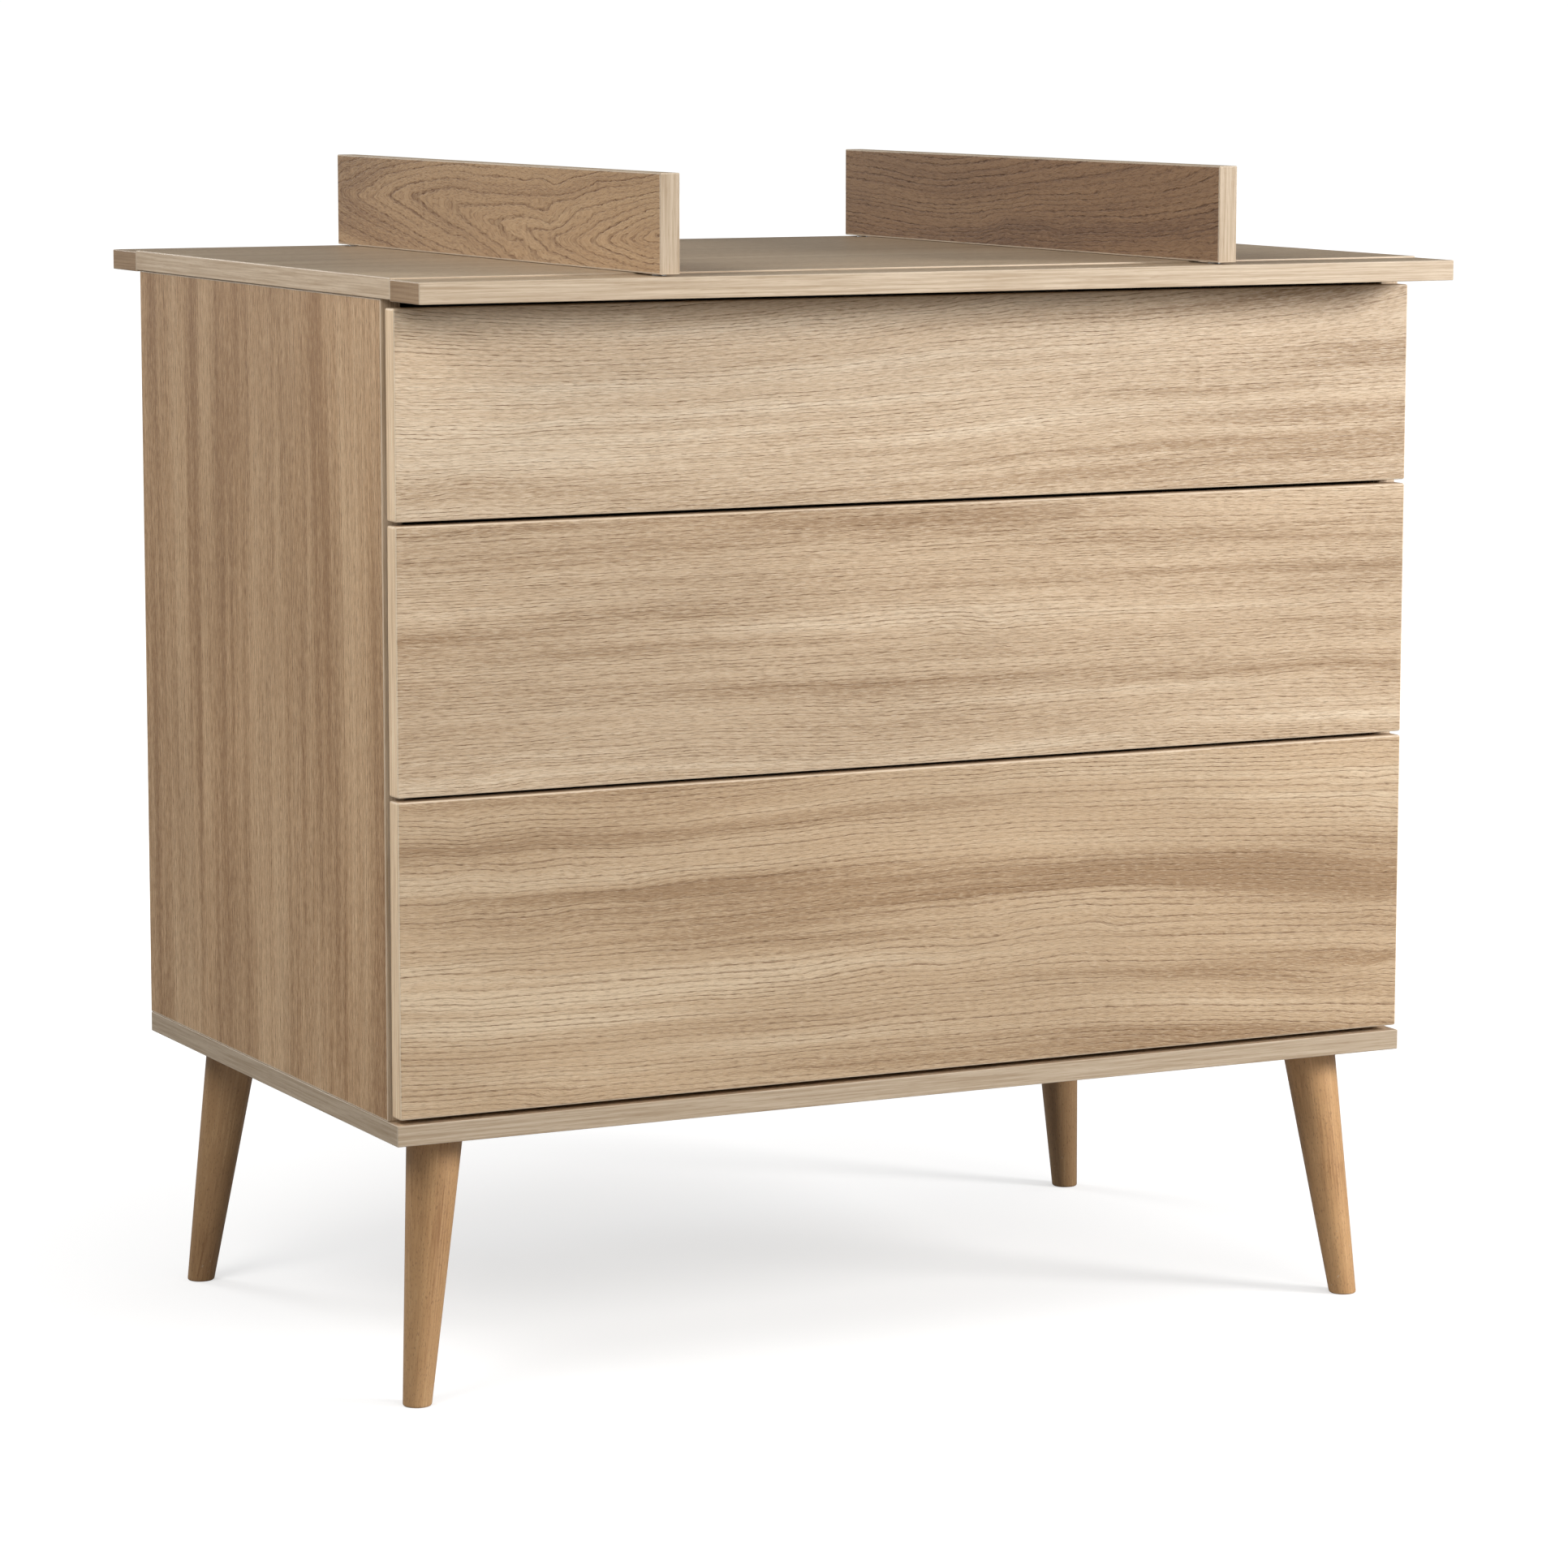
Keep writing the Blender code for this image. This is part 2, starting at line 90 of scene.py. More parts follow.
def grey(level):
    return (level, level, level, 1.0)


OAK = {
    "light": srgb(232, 208, 178),
    "middle": srgb(209, 180, 147),
    "dark": srgb(170, 137, 102),
    "line": srgb(142, 108, 75),
    "pore": srgb(112, 81, 53),
    "band": srgb(227, 206, 179),
    "band_dark": srgb(194, 169, 139),
    "rim": srgb(238, 221, 197),
}
BEECH = {
    "dark": srgb(173, 127, 83),
    "middle": srgb(208, 163, 114),
    "light": srgb(235, 193, 142),
    "fleck": srgb(122, 84, 54),
    "chip": srgb(216, 190, 158),
}
MELAMINE = {"dark": srgb(214, 205, 190), "light": srgb(230, 223, 210), "speck": srgb(178, 160, 136)}
LACQUER = {"dark": srgb(216, 207, 192), "light": srgb(231, 224, 211)}
PRESSED_FIBRE = {"dark": srgb(152, 118, 84), "middle": srgb(184, 149, 111), "light": srgb(206, 173, 134)}
ZINC = {"dark": srgb(190, 194, 198), "light": srgb(222, 225, 227)}
GREY_PLASTIC = {"dark": srgb(118, 121, 124), "light": srgb(140, 143, 146)}

# How light each leg is painted, as painted shade for the light it gets: 1 is the best lit and palest.
LEG_SHADE_TONES = {"leg_front_left": 0.84, "leg_front_right": 1.0, "leg_back_left": 0.72, "leg_back_right": 0.52}
LEG_TOP_RADIUS, LEG_FOOT_RADIUS = 0.0245, 0.0125


# ---------------------------------------------------------------- shader nodes


class Graph:
    """Short ways to add nodes to one material. Wherever a value is asked for, a socket or a number may be given."""

    def __init__(self, name):
        self.material = bpy.data.materials.new(name)
        self.material.use_nodes = True
        self.tree = self.material.node_tree
        self.tree.nodes.clear()
        output = self.node("ShaderNodeOutputMaterial")
        self.shader = self.node("ShaderNodeBsdfPrincipled")
        self.tree.links.new(self.shader.outputs[0], output.inputs[0])

    def node(self, kind, **settings):
        made = self.tree.nodes.new(kind)
        for key, value in settings.items():
            setattr(made, key, value)
        return made

    def feed(self, socket, value):
        if isinstance(value, bpy.types.NodeSocket):
            self.tree.links.new(value, socket)
        else:
            socket.default_value = value

    def math(self, operation, a, b=0.0):
        made = self.node("ShaderNodeMath", operation=operation)
        self.feed(made.inputs[0], a)
        self.feed(made.inputs[1], b)
        return made.outputs[0]

    def add(self, *values):
        total = values[0]
        for value in values[1:]:
            total = self.math("ADD", total, value)
        return total

    def times(self, a, b):
        return self.math("MULTIPLY", a, b)

    def less(self, a, b):
        return self.math("SUBTRACT", a, b)

    def invert(self, a):
        return self.math("SUBTRACT", 1.0, a)

    def size(self, a):
        return self.math("ABSOLUTE", a)

    def step(self, value, low, high, to_low=0.0, to_high=1.0):
        """A smooth change from to_low to to_high as value goes from low to high."""
        made = self.node("ShaderNodeMapRange", interpolation_type="SMOOTHSTEP")
        for socket, given in zip(made.inputs, (value, low, high, to_low, to_high)):
            self.feed(socket, given)
        return made.outputs[0]

    def vector(self, x, y=0.0, z=0.0):
        made = self.node("ShaderNodeCombineXYZ")
        for socket, given in zip(made.inputs, (x, y, z)):
            self.feed(socket, given)
        return made.outputs[0]

    def stretched(self, places, scales):
        """The vector of each place times its scale, which sets how long a noise's marks are that way."""
        return self.vector(*(self.times(place, scale) for place, scale in zip(places, scales)))

    def split(self, vector):
        made = self.node("ShaderNodeSeparateXYZ")
        self.feed(made.inputs[0], vector)
        return list(made.outputs)

    def noise(self, vector, scale=1.0, detail=2.0, roughness=0.5, distortion=0.0):
        made = self.node("ShaderNodeTexNoise")
        self.feed(made.inputs["Vector"], vector)
        settings = {"Scale": scale, "Detail": detail, "Roughness": roughness, "Distortion": distortion}
        for key, value in settings.items():
            made.inputs[key].default_value = value
        return made.outputs["Fac"]

    def cells(self, vector, scale):
        made = self.node("ShaderNodeTexVoronoi")
        self.feed(made.inputs["Vector"], vector)
        made.inputs["Scale"].default_value = scale
        return made.outputs["Distance"]

    def mix(self, share, a, b, blend="MIX"):
        made = self.node("ShaderNodeMix", data_type="RGBA", blend_type=blend)
        self.feed(made.inputs["Factor"], share)
        self.feed(made.inputs[6], a)  # 6 and 7 are the colour sockets A and B
        self.feed(made.inputs[7], b)
        return made.outputs[2]

    def choose(self, share, a, b):
        """a where share is 0 and b where it is 1, for plain values."""
        return self.add(self.times(self.invert(share), a), self.times(share, b))

    def ramp(self, value, *stops):
        made = self.node("ShaderNodeValToRGB")
        made.color_ramp.interpolation = "EASE"
        elements = made.color_ramp.elements
        while len(elements) < len(stops):
            elements.new(0.5)
        for element, (place, colour) in zip(elements, stops):
            element.position, element.color = place, colour
        self.feed(made.inputs[0], value)
        return made.outputs[0]

    def coordinates(self):
        """Where a point is in the part's frame and which way its surface faces, both as three values.

        They stay with a moving body.
        """
        made = self.node("ShaderNodeTexCoord")
        return self.split(made.outputs["Object"]), self.split(made.outputs["Normal"])

    def bump(self, height, distance, strength):
        made = self.node("ShaderNodeBump")
        made.inputs["Distance"].default_value = distance
        made.inputs["Strength"].default_value = strength
        self.feed(made.inputs["Height"], height)
        return made.outputs[0]

    def finish(self, colour, roughness, normal, **plain):
        """Feeds the shader. plain holds the values that are the same all over, by socket name with _ for a space."""
        self.feed(self.shader.inputs["Base Color"], colour)
        self.feed(self.shader.inputs["Roughness"], roughness)
        self.feed(self.shader.inputs["Normal"], normal)
        for key, value in plain.items():
            self.shader.inputs[key.replace("_", " ")].default_value = value
        return self.material


# ---------------------------------------------------------------- oak-faced boards


def board_axes(g, node, grain):
    """A point's distance from the board's centre along the grain, across it and through the board.

    Returns those three, the size of the normal's share in each of the three ways, and the board's half sizes.
    """
    low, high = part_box(node)
    size = high - low
    through = min(range(3), key=lambda axis: size[axis])
    along = AXES[grain]
    across = 3 - through - along
    place, normal = g.coordinates()
    order = (along, across, through)
    offsets = [g.less(place[axis], (low[axis] + high[axis]) / 2) for axis in order]
    return offsets, [g.size(normal[axis]) for axis in order], [size[axis] / 2 for axis in order]


def oak_figure(g, u, v, seed, pith=(0.0, 0.5), depth=0.1, tilt=0.03, wave=1.0, spacing=0.0030, jag=1.0, point=2.0):
    """The figure of a sawn face, cut from growth rings round a pith.

    The pith crosses the face's plane at pith[0] along the board and pith[1] across it, tilt says how steeply, and
    depth how far below the face it stays. wave and jag are how much the rings wander, broadly and finely, and a
    point under 2 makes the arches between them sharper. Returns the broad tone, the fibre, the ring lines, the
    pores and the pale flecks, each 0 to 1.
    """
    shift = seed * 7.31

    def around(scale_u, scale_v, place, **look):
        field = g.noise(g.vector(g.times(u, scale_u), g.times(v, scale_v), shift + place), **look)
        return g.less(field, 0.5)

    def by_ring(ring, scale_ring, scale_u, place, **look):
        return g.noise(g.vector(g.times(ring, scale_ring), g.times(u, scale_u), shift + place), **look)

    def along_grain(scale_u, scale_ring, place, **look):
        return g.noise(g.vector(g.times(u, scale_u), g.times(radius, scale_ring), shift + place), **look)

    lively = g.step(around(3.5, 11.0, 2.0), -0.02, 0.16, 0.25, 1.0)
    warped = g.add(
        v,
        g.times(around(1.6, 3.0, 0.0, detail=1.5), 0.050 * wave),
        g.times(g.times(around(10.0, 30.0, 3.0), lively), 0.018 * wave),
        g.times(around(40.0, 110.0, 5.0), 0.0012 * jag),
        g.times(around(190.0, 420.0, 7.0), 0.0011 * jag),
    )
    drift = g.times(around(1.3, 0.0, 9.0, detail=0.0), 0.06 * wave)
    rise = g.add(g.times(g.less(u, pith[0]), tilt), depth, drift)
    sides = [g.math("POWER", g.size(side), point) for side in (g.less(warped, pith[1]), rise)]
    radius = g.math("POWER", g.add(*sides), 1.0 / point)

    # One thin dark line for each ring, stronger on some rings than on others and broken along its length.
    uneven = by_ring(radius, 0.11 / spacing, 0.5, 11.0, detail=1.0)
    turns = g.add(g.times(radius, 1.0 / spacing), g.times(uneven, 5.0))
    within, count = g.math("FRACT", turns), g.math("FLOOR", turns)
    line = g.times(g.step(within, 0.0, 0.08), g.step(within, 0.10, 0.42, 1.0, 0.0))
    strong = g.step(by_ring(count, 0.73, 3.0, 13.0, detail=1.0), 0.32, 0.62, 0.25, 1.0)
    broken = g.step(by_ring(count, 3.1, 55.0, 15.0, detail=2.0), 0.34, 0.58, 0.45, 1.0)
    line = g.times(line, g.times(strong, broken))

    tone = g.add(
        g.times(by_ring(radius, 20.0, 0.9, 17.0, detail=2.0), 0.72),
        g.times(by_ring(radius, 95.0, 2.4, 19.0, detail=1.0), 0.28),
    )
    fibre = along_grain(62.0, 1450.0, 23.0, detail=3.0, roughness=0.72)
    dash = along_grain(140.0, 1650.0, 29.0, detail=1.0, roughness=0.4)
    pore = g.times(g.step(dash, 0.54, 0.64), g.add(0.40, g.times(line, 0.60)))
    fleck = g.step(dash, 0.34, 0.44, 1.0, 0.0)
    return tone, fibre, line, pore, fleck


def oak_band(g, run, w, seed, tone):
    """The closing band of a board's edges: streaks along the edge, fine across the board's thickness."""
    streak = g.noise(g.vector(g.times(run, 9.0), g.times(w, 420.0), seed + 41.0), detail=3.0, roughness=0.65)
    speck = g.noise(g.vector(g.times(run, 60.0), g.times(w, 1500.0), seed + 43.0), detail=1.0)
    band = g.ramp(streak, (0.3, scaled(OAK["band_dark"], tone)), (0.68, scaled(OAK["band"], tone)))
    return g.mix(g.times(g.step(speck, 0.58, 0.72), 0.35), band, scaled(OAK["dark"], tone)), streak


def oak_board(
    node,
    grain,
    seed,
    tone=1.0,
    tint=(1.0, 1.0, 1.0),
    contrast=1.0,
    grit=0.9,
    lines=0.75,
    pores=0.66,
    gloss=0.46,
    band_tone=1.0,
    ends=(1.0, 1.0, 1.0),
    **figure,
):
    """A board faced with printed oak, its edges closed with a paler band that shows as a thin line round each face,
    made paler still by a painted highlight on the rounded edges.

    grain is the axis that it runs along, ends tints the band on the two edges across it, and gloss is the base
    roughness.
    """
    g = Graph(node)
    (u, v, w), (face_u, _, face_w), half = board_axes(g, node, grain)
    broad, fibre, line, pore, fleck = oak_figure(g, u, v, seed, **figure)

    # tone and tint scale the oak's colours for the board; on the fronts, side panels, partitions, top and rails they
    # also carry painted light and shade.
    def shade(key):
        return tuple(min(1.0, c * tone * t) for c, t in zip(OAK[key], tint)) + (1.0,)

    value = g.add(0.5, g.times(g.less(broad, 0.5), 1.9 * contrast), g.times(g.less(fibre, 0.5), grit))
    face = g.ramp(value, (0.10, shade("dark")), (0.5, shade("middle")), (0.90, shade("light")))
    face = g.mix(g.times(line, lines), face, shade("line"))
    face = g.mix(g.times(pore, pores), face, shade("pore"))
    face = g.mix(g.times(fleck, 0.24), face, shade("rim"))
    patch = g.noise(g.vector(g.times(u, 2.2), g.times(v, 6.0), seed + 31.0), detail=2.0)
    face = g.mix(1.0, face, g.ramp(patch, (0.3, grey(0.90)), (0.7, grey(1.0))), "MULTIPLY")

    on_end = g.step(face_u, 0.45, 0.55)
    band, streak = oak_band(g, g.choose(on_end, u, v), w, seed, band_tone)
    band = g.mix(on_end, band, g.mix(1.0, band, tuple(ends) + (1.0,), "MULTIPLY"))

    # The band's own thickness shows as a pale rim on the face, and on an end where two bands meet; the rim is partly
    # painted highlight, paler than the band as a rounded edge catches the light.
    rim_colour = scaled(OAK["rim"], band_tone)
    from_side = g.less(half[1], g.size(v))
    inward = g.math("MINIMUM", g.less(half[0], g.size(u)), from_side)
    wobble = g.times(g.noise(g.vector(u, v, w), 240.0, 1.0), 0.0006)
    rim = g.step(g.add(inward, wobble), 0.0010, 0.0020, 1.0, 0.0)
    face = g.mix(g.times(rim, 0.80), face, rim_colour)
    band = g.mix(g.times(on_end, g.step(from_side, 0.0006, 0.0014, 0.7, 0.0)), band, rim_colour)
    on_face = g.step(face_w, 0.60, 0.80)
    colour = g.mix(on_face, band, face)

    height = g.less(g.times(fibre, 0.35), g.add(g.times(line, 0.6), pore))
    height = g.choose(on_face, g.times(streak, 0.5), height)
    rough = g.add(gloss, g.times(pore, 0.16), g.times(line, 0.08), g.times(g.less(fibre, 0.5), 0.10))
    return g.finish(colour, rough, g.bump(height, 0.00030, 0.8))


def paint(node, material):
    """Gives a CAD node one material."""
    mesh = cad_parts[node].data
    mesh.materials.clear()
    mesh.materials.append(material)


# How each board looks, as oak_board and oak_figure take it.
FRONT_ENDS = (1.45, 1.40, 1.32)
# The differences between the fronts' tones and tints are painted light: the top front paler and bluer as a painted
# sheen, the bottom one darker and warmer as painted shade.
FRONTS = {
    "top": dict(
        tone=1.08,
        tint=(1.0, 1.05, 1.10),
        contrast=1.15,
        lines=0.68,
        pores=0.54,
        pith=(0.05, 0.115),
        depth=0.03,
        tilt=0.10,
        wave=0.8,
    ),
    "middle": dict(
        tone=0.99,
        tint=(1.0, 1.02, 1.03),
        contrast=1.2,
        lines=0.68,
        pores=0.58,
        pith=(0.1, -0.32),
        depth=0.05,
        tilt=0.10,
        wave=0.7,
    ),
    "bottom": dict(
        tone=0.95,
        tint=(1.0, 0.99, 0.95),
        contrast=1.3,
        lines=0.75,
        pores=0.55,
        spacing=0.0046,
        pith=(-0.3, -0.34),
        depth=0.05,
        tilt=0.12,
        wave=1.1,
    ),
}
# The side panels' lower tone and warm, saturated tint are partly their own oak and partly painted shade, set for the
# left side, which the key lamp doesn't reach.
SIDE_PANEL = dict(
    tone=0.91,
    tint=(1.12, 0.98, 0.81),
    contrast=1.5,
    grit=2.3,
    lines=1.0,
    pith=(0.0, 0.5),
    tilt=0.02,
    wave=0.35,
    jag=1.4,
)
# The top and the two rails that make it deeper. Their grey-blue tint is a painted reflection: the greying that a top
# seen at a grazing angle takes from pale surroundings.
PLATE = dict(
    tone=0.98,
    tint=(0.95, 1.0, 1.03),
    contrast=0.55,
    grit=0.7,
    lines=0.40,
    gloss=0.38,
    band_tone=0.86,
    wave=0.6,
)
PARTITION = dict(contrast=1.1, grit=1.0, lines=0.90, gloss=0.58, band_tone=0.82, spacing=0.0052, jag=2.4)
# The partitions' low tones and warm, saturated tints are partly their own oak and partly painted shade; the right
# one is darkest, as painted shade where the left one keeps the fill lamp's light from it.
PARTITIONS = {
    "left": dict(
        tone=0.74,
        tint=(1.06, 0.91, 0.69),
        pith=(-0.34, -0.010),
        depth=0.0,
        tilt=0.13,
        wave=1.7,
        point=1.45,
    ),
    "right": dict(
        tone=0.40,
        tint=(1.10, 0.82, 0.53),
        pith=(0.30, 0.10),
        depth=0.02,
        tilt=0.14,
        wave=1.2,
    ),
}


def dress_oak():
    def board(node, slot, grain, seed, **look):
        paint(node, oak_board(node, grain, seed, **look))

    for seed, which in enumerate(DRAWERS, 1):
        board("drawer_front_" + which, "oak_front", "X", seed, ends=FRONT_ENDS, **FRONTS[which])
    for seed, (side, _) in enumerate(SIDES, 4):
        board("side_panel_" + side, "oak_carcass", "Z", seed, **SIDE_PANEL)
    board("bottom_panel", "oak_carcass", "X", 6, tone=0.95, band_tone=0.75, pith=(0.0, 0.6), wave=0.6)
    board("top_panel", "oak_top", "X", 7, ends=(1.18, 1.16, 1.14), pith=(0.1, 0.5), depth=0.1, **PLATE)
    for seed, (end, _) in enumerate(ENDS, 8):
        board("extension_rail_" + end, "oak_top", "X", seed, ends=(0.66, 0.54, 0.42), **PLATE)
    for seed, (side, _) in enumerate(SIDES, 10):
        board("partition_" + side, "oak_partition", "Y", seed, **PARTITIONS[side], **PARTITION)


# ---------------------------------------------------------------- other materials


def beech(node, top, foot, seed):
    """Stained beech: quiet rings, a dense scatter of short flecks, a bruise or two near the foot, and painted shade
    that darkens each leg by how little light it gets.

    The grain follows the leg's own line, from top to foot.
    """
    g = Graph(node)
    (x, y, z), _ = g.coordinates()
    share = g.times(g.less(z, top.z), 1.0 / (foot.z - top.z))
    a = g.less(x, g.add(top.x, g.times(share, foot.x - top.x)))
    b = g.less(y, g.add(top.y, g.times(share, foot.y - top.y)))
    shift = seed * 5.7
    lifted = g.add(z, shift)
    warp = g.times(g.less(g.noise(g.stretched((a, b, z), (30.0, 30.0, 5.0))), 0.5), 0.012)
    across, deep = g.math("POWER", g.add(a, 0.05), 2.0), g.math("POWER", g.add(b, 0.03, warp), 2.0)
    radius = g.math("SQRT", g.add(across, deep))
    ring = g.noise(g.vector(g.times(radius, 420.0), g.times(z, 1.5), shift), detail=3.0, roughness=0.6)
    fibre = g.noise(g.stretched((a, b, z), (700.0, 700.0, 22.0)))
    fleck = g.noise(g.stretched((a, b, lifted), (1300.0, 1300.0, 260.0)), detail=1.0)
    cloud = g.noise(g.stretched((a, b, lifted), (18.0, 18.0, 9.0)), detail=3.0)
    value = g.add(g.times(ring, 0.40), g.times(fibre, 0.25), g.times(cloud, 0.35))
    colour = g.ramp(value, (0.32, BEECH["dark"]), (0.5, BEECH["middle"]), (0.68, BEECH["light"]))
    flecks = g.step(fleck, 0.60, 0.70)
    colour = g.mix(g.times(flecks, 0.45), colour, BEECH["fleck"])
    bruise = g.step(g.noise(g.vector(x, y, g.times(z, 0.8)), 210.0, 2.0), 0.70, 0.72)
    chips = g.times(bruise, g.step(z, 0.012, 0.075, 1.0, 0.0))
    colour = g.mix(g.times(chips, 0.7), colour, BEECH["chip"])
    # Painted shade: each leg's colour is darkened by how little light that leg gets, the back legs most.
    colour = g.mix(1.0, colour, grey(LEG_SHADE_TONES[node]), "MULTIPLY")
    height = g.add(g.times(g.invert(flecks), 0.5), g.times(fibre, 0.5), g.times(g.invert(chips), 1.5))
    rough = g.add(0.38, g.times(fibre, 0.12), g.times(flecks, 0.10))
    return g.finish(colour, rough, g.bump(height, 0.00010, 0.5), Coat_Weight=0.15, Coat_Roughness=0.3)


def laminate(name):
    """A pale melamine facing with a faint linen weave, for the drawer boxes."""
    g = Graph(name)
    place, _ = g.coordinates()
    cloud = g.noise(g.vector(*place), 14.0, 3.0)
    weave = g.noise(g.stretched(place, (900.0, 260.0, 900.0)))
    speck = g.step(g.noise(g.vector(*place), 1400.0, 1.0), 0.68, 0.74)
    value = g.add(g.times(cloud, 0.5), g.times(weave, 0.5))
    colour = g.ramp(value, (0.3, MELAMINE["dark"]), (0.7, MELAMINE["light"]))
    colour = g.mix(g.times(speck, 0.25), colour, MELAMINE["speck"])
    return g.finish(colour, g.add(0.42, g.times(weave, 0.14)), g.bump(weave, 0.00005, 0.5))


def hardboard(node, pale_axis, pale_sign):
    """Thin fibreboard: lacquered on the face towards pale_axis and bare pressed fibre on the other."""
    g = Graph(node)
    place, normal = g.coordinates()
    pale = g.step(g.times(normal[AXES[pale_axis]], pale_sign), 0.3, 0.6)
    fibre = g.noise(g.vector(*place), 520.0, 4.0, 0.7)
    hair = g.noise(g.stretched(place, (90.0, 90.0, 420.0)), 1.0, 3.0, 0.7, 1.2)
    cloud = g.noise(g.vector(*place), 9.0, 3.0)
    value = g.add(g.times(fibre, 0.4), g.times(hair, 0.3), g.times(cloud, 0.3))
    stops = (0.34, PRESSED_FIBRE["dark"]), (0.52, PRESSED_FIBRE["middle"]), (0.68, PRESSED_FIBRE["light"])
    bare = g.ramp(value, *stops)
    coated = g.add(g.times(cloud, 0.6), g.times(fibre, 0.4))
    colour = g.mix(pale, bare, g.ramp(coated, (0.3, LACQUER["dark"]), (0.7, LACQUER["light"])))
    rough = g.choose(pale, g.add(0.62, g.times(fibre, 0.25)), g.add(0.36, g.times(fibre, 0.08)))
    return g.finish(colour, rough, g.bump(g.add(fibre, g.times(hair, 0.5)), 0.00010, 0.5))


def zinc(name):
    """Zinc-plated sheet: a trace of spangle, faint draw lines along Y and a little dulling."""
    g = Graph(name)
    place, _ = g.coordinates()
    spangle = g.cells(g.vector(*place), 260.0)
    drawn = g.noise(g.stretched(place, (1600.0, 18.0, 1600.0)))
    cloud = g.noise(g.vector(*place), 60.0, 3.0)
    tone = g.add(g.times(spangle, 0.10), g.times(drawn, 0.45), g.times(cloud, 0.45))
    colour = g.ramp(tone, (0.25, ZINC["dark"]), (0.6, ZINC["light"]))
    rough = g.add(0.30, g.times(cloud, 0.16), g.times(drawn, 0.10))
    normal = g.bump(g.add(drawn, g.times(spangle, 0.3)), 0.00003, 0.5)
    return g.finish(colour, rough, normal, Metallic=0.9)


def plastic(name):
    """Moulded grey plastic with a fine spark-eroded grain."""
    g = Graph(name)
    place, _ = g.coordinates()
    grain = g.noise(g.vector(*place), 2600.0, 2.0, 0.6)
    cloud = g.noise(g.vector(*place), 90.0, 2.0)
    value = g.add(g.times(grain, 0.5), g.times(cloud, 0.5))
    colour = g.ramp(value, (0.3, GREY_PLASTIC["dark"]), (0.7, GREY_PLASTIC["light"]))
    return g.finish(colour, g.add(0.40, g.times(grain, 0.16)), g.bump(grain, 0.00004, 0.6))


def dress_leg(node, sx, sy):
    """Stains a leg that leans out towards sx and sy, with its top near the box's inner corner and its foot out."""
    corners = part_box(node)
    inner_x, outer_x = (corner.x for corner in corners[::sx])
    inner_y, outer_y = (corner.y for corner in corners[::sy])
    top = Vector((inner_x + sx * LEG_TOP_RADIUS, inner_y + sy * LEG_TOP_RADIUS, corners[1].z))
    foot = Vector((outer_x - sx * LEG_FOOT_RADIUS, outer_y - sy * LEG_FOOT_RADIUS, corners[0].z))
    paint(node, beech(node, top, foot, 3 + sx + 2 * sy))


def dress_rest():
    melamine, steel, grey_plastic = laminate("drawer_laminate"), zinc("zinc_steel"), plastic("grey_plastic")
    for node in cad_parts:
        if node.startswith(("drawer_side", "drawer_back")):
            paint(node, melamine)
        elif node.startswith("drawer_bottom"):
            paint(node, hardboard(node, "Z", 1.0))
        elif node == "back_panel":
            paint(node, hardboard(node, "Y", -1.0))
        elif node.startswith(("runner", "leg_bolt", "partition_screw")):
            paint(node, steel)
        elif node.startswith("latch"):
            paint(node, grey_plastic)
    make_fastenings(steel)
    for end, sy in ENDS:
        for side, sx in SIDES:
            dress_leg(f"leg_{end}_{side}", sx, sy)


# ---------------------------------------------------------------- fastenings

# Heads with a cross recess: arm is half the cross's length, and slot half its width.
SCREW_HEAD = dict(radius=0.0032, height=0.0016, recess=0.0010, arm=0.0019, slot=0.0007)
CONFIRMAT = dict(radius=0.0036, height=0.0004, recess=0.0006, arm=0.0017, slot=0.0008)
CAM = dict(radius=0.0075, height=0.0005, recess=0.0009, arm=0.0036, slot=0.0011)
SUNK = 0.0003  # how far a head reaches into what it sits on
HEAD_FOOT = 0.6  # the radius of a head's underside, as a share of its own
HEAD_RIM, DOME_START = 0.30, 0.45  # where the rim ends and the dome starts, as shares of the height
HEAD_SEGMENTS, DOME_STEPS = 40, 6
CUTTER_ABOVE = 0.001  # how far the recess's cutter stands above the head
SLIVER = 2e-5  # a cut head's points that are closer than this become one
FIRST_TURN, NEXT_TURN = 23.0, 31.0  # degrees that the first head is turned by, and each next one more

RUNNER_SCREWS = (0.020, 0.150, 0.330)  # from the channel's front end
LATCH_SCREWS = (0.62, 0.90)  # shares of the housing's length
CAM_FROM_FRONT = 0.034
JOINT_SHARES = (0.30, 0.78)  # of a drawer side's height

CHANNEL_SHEET = 0.0012
BALL_RADIUS, BALL_PITCH = 0.00105, 0.011
BALL_MERIDIANS, BALL_ROWS = 10, 6
CAGE_SHEET, CAGE_WIDTH = 0.0005, 0.0040
CAGES = (("outer", 0.275, 0.20), ("inner", 0.010, 0.24))  # start from the middle channel's front end, and length


def object_of(name, mesh):
    """A new object in the scene from a bmesh, which is freed."""
    data = bpy.data.meshes.new(name)
    mesh.to_mesh(data)
    mesh.free()
    made = bpy.data.objects.new(name, data)
    bpy.context.scene.collection.objects.link(made)
    return made


def bridge(mesh, low, high):
    """Faces between two rings of points, all the way round."""
    for k in range(len(low)):
        after = (k + 1) % len(low)
        mesh.faces.new((low[k], low[after], high[after], high[k]))


def cross_cutter(height, recess, arm, slot):
    """The solid that cuts a head's cross recess, half as wide at its bottom as at its top."""
    mesh = bmesh.new()
    corners = [(slot, slot), (slot, arm), (-slot, arm), (-slot, slot), (-arm, slot), (-arm, -slot)]
    corners += [(-slot, -slot), (-slot, -arm), (slot, -arm), (slot, -slot), (arm, -slot), (arm, slot)]
    levels = (1.0, height + CUTTER_ABOVE), (0.5, height - recess)
    top, bottom = ([mesh.verts.new((x * share, y * share, z)) for x, y in corners] for share, z in levels)
    mesh.faces.new(top[::-1])
    mesh.faces.new(bottom)
    bridge(mesh, top, bottom)
    bmesh.ops.recalc_face_normals(mesh, faces=mesh.faces)
    return object_of("cross", mesh)


